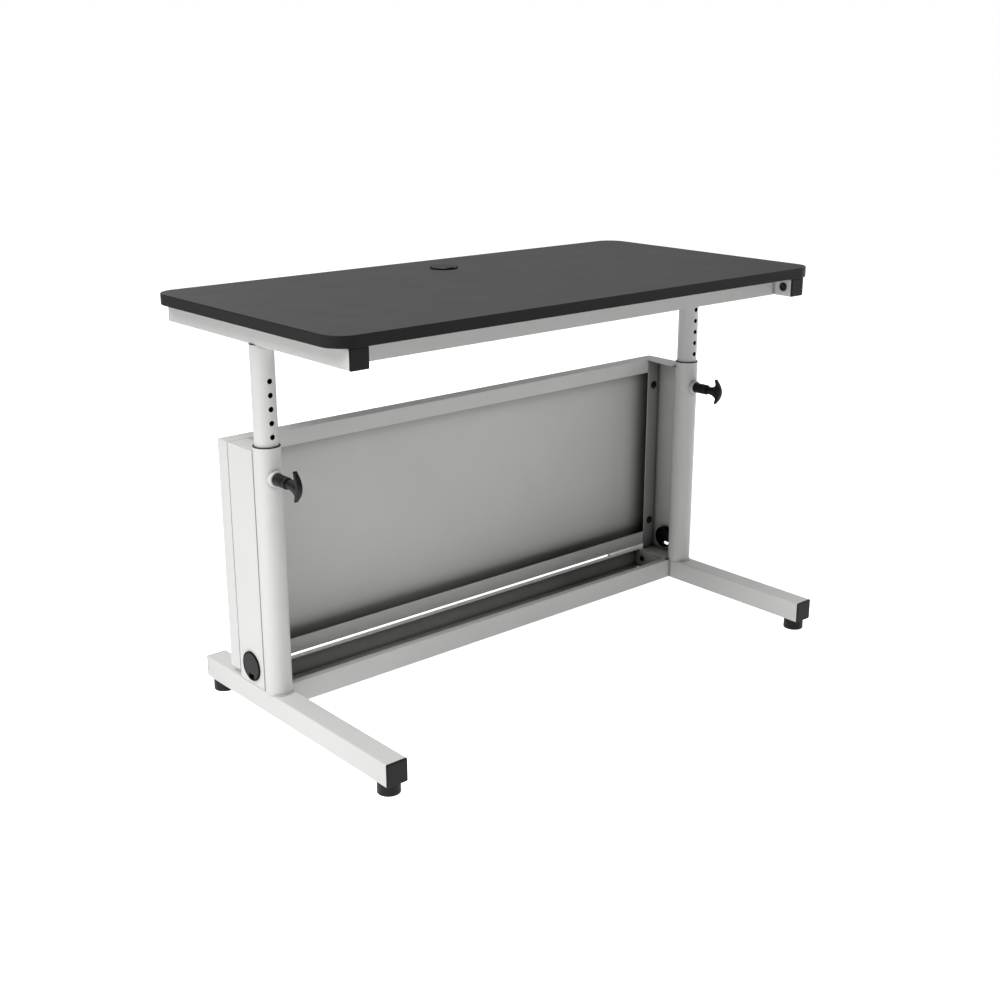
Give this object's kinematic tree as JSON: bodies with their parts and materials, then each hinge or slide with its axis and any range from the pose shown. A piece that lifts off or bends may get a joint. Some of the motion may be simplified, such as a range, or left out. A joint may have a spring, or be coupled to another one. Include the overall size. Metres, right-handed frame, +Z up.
{
  "type": "height adjustable standing desk",
  "caption": "Rectangular desk on two telescopic steel legs with pull-pin height adjustment, rear modesty panel, cable tray and levelling glides.",
  "frame": {"origin": "on the floor under the centre of the desk's outline", "axes": "+X along the tabletop's length to the right of a person at the desk, -Y towards that person, +Z up"},
  "size_m": [1.2192, 0.6744, 0.7962],
  "materials": {
    "laminate": "dark grey matt laminate on particle board",
    "edge_band": "black moulded edge band",
    "white_powder_coat": "white fine powder coat on steel",
    "black_plastic": "matt black moulded plastic",
    "sleeve_plastic": "natural acetal",
    "bright_steel": "zinc plated steel",
    "black_steel": "black coated steel fasteners"
  },
  "bodies": {
    "base": {"cable_tray": "white_powder_coat", "cover_bolts": "black_steel", "cover_nuts": "bright_steel", "foot_end_caps": "black_plastic", "glide_nuts": "bright_steel", "left_foot": "white_powder_coat", "left_lower_tube": "white_powder_coat", "left_plunger_barrel": "black_plastic", "left_plunger_boss": "white_powder_coat", "left_plunger_spring": "bright_steel", "left_side_cover": "white_powder_coat", "left_side_port_liner": "black_plastic", "left_tube_bushing": "black_plastic", "rear_panel": "white_powder_coat", "right_foot": "white_powder_coat", "right_lower_tube": "white_powder_coat", "right_plunger_barrel": "black_plastic", "right_plunger_boss": "white_powder_coat", "right_plunger_spring": "bright_steel", "right_side_cover": "white_powder_coat", "right_side_port_liner": "black_plastic", "right_tube_bushing": "black_plastic", "tray_bolts": "black_steel"},
    "upper_frame": {"tabletop_board": "laminate", "tabletop_edge_band": "edge_band", "tabletop_port_liner": "black_plastic", "left_side_rail": "white_powder_coat", "right_side_rail": "white_powder_coat", "front_cross_rail": "white_powder_coat", "rear_cross_rail": "white_powder_coat", "rail_end_caps": "black_plastic", "rail_hole_buttons": "black_plastic", "tabletop_screws": "bright_steel", "left_upper_tube": "white_powder_coat", "right_upper_tube": "white_powder_coat", "left_tube_sleeve": "sleeve_plastic", "right_tube_sleeve": "sleeve_plastic"},
    "left_plunger": {"left_plunger_pin": "bright_steel", "left_pull_handle": "black_plastic"},
    "right_plunger": {"right_plunger_pin": "bright_steel", "right_pull_handle": "black_plastic"},
    "tabletop_port_cap": {"tabletop_port_cap": "black_plastic"},
    "left_side_port_cap": {"left_side_port_cap": "black_plastic"},
    "right_side_port_cap": {"right_side_port_cap": "black_plastic"},
    "left_front_glide": {"left_front_glide": "black_plastic"},
    "left_rear_glide": {"left_rear_glide": "black_plastic"},
    "right_front_glide": {"right_front_glide": "black_plastic"},
    "right_rear_glide": {"right_rear_glide": "black_plastic"}
  },
  "joints": [
    {"name": "height", "type": "slide", "parent": "base", "child": "upper_frame", "axis": [0, 0, 1], "range_m": [-0.1778, 0.127]},
    {"name": "left_pull", "type": "slide", "parent": "base", "child": "left_plunger", "axis": [0, -1, 0], "range_m": [0, 0.008], "stiffness_N_per_m": 800, "springref_m": -0.006, "deforming": ["left_plunger_spring"]},
    {"name": "right_pull", "type": "slide", "parent": "base", "child": "right_plunger", "axis": [0, -1, 0], "range_m": [0, 0.008], "stiffness_N_per_m": 800, "springref_m": -0.006, "deforming": ["right_plunger_spring"]},
    {"name": "left_front_levelling", "type": "slide", "parent": "base", "child": "left_front_glide", "axis": [0, 0, -1], "range_m": [0, 0.012]},
    {"name": "left_rear_levelling", "type": "slide", "parent": "base", "child": "left_rear_glide", "axis": [0, 0, -1], "range_m": [0, 0.012]},
    {"name": "right_front_levelling", "type": "slide", "parent": "base", "child": "right_front_glide", "axis": [0, 0, -1], "range_m": [0, 0.012]},
    {"name": "right_rear_levelling", "type": "slide", "parent": "base", "child": "right_rear_glide", "axis": [0, 0, -1], "range_m": [0, 0.012]},
    {"name": "tabletop_port_turn", "type": "hinge", "parent": "upper_frame", "child": "tabletop_port_cap", "pos_m": [0, 0.2212, 0.7936], "axis": [0, 0, 1], "continuous": true},
    {"name": "left_side_port_turn", "type": "hinge", "parent": "base", "child": "left_side_port_cap", "pos_m": [-0.58208, 0.0937, 0.104], "axis": [-1, 0, 0], "continuous": true},
    {"name": "right_side_port_turn", "type": "hinge", "parent": "base", "child": "right_side_port_cap", "pos_m": [0.58208, 0.0937, 0.104], "axis": [1, 0, 0], "continuous": true}
  ]
}
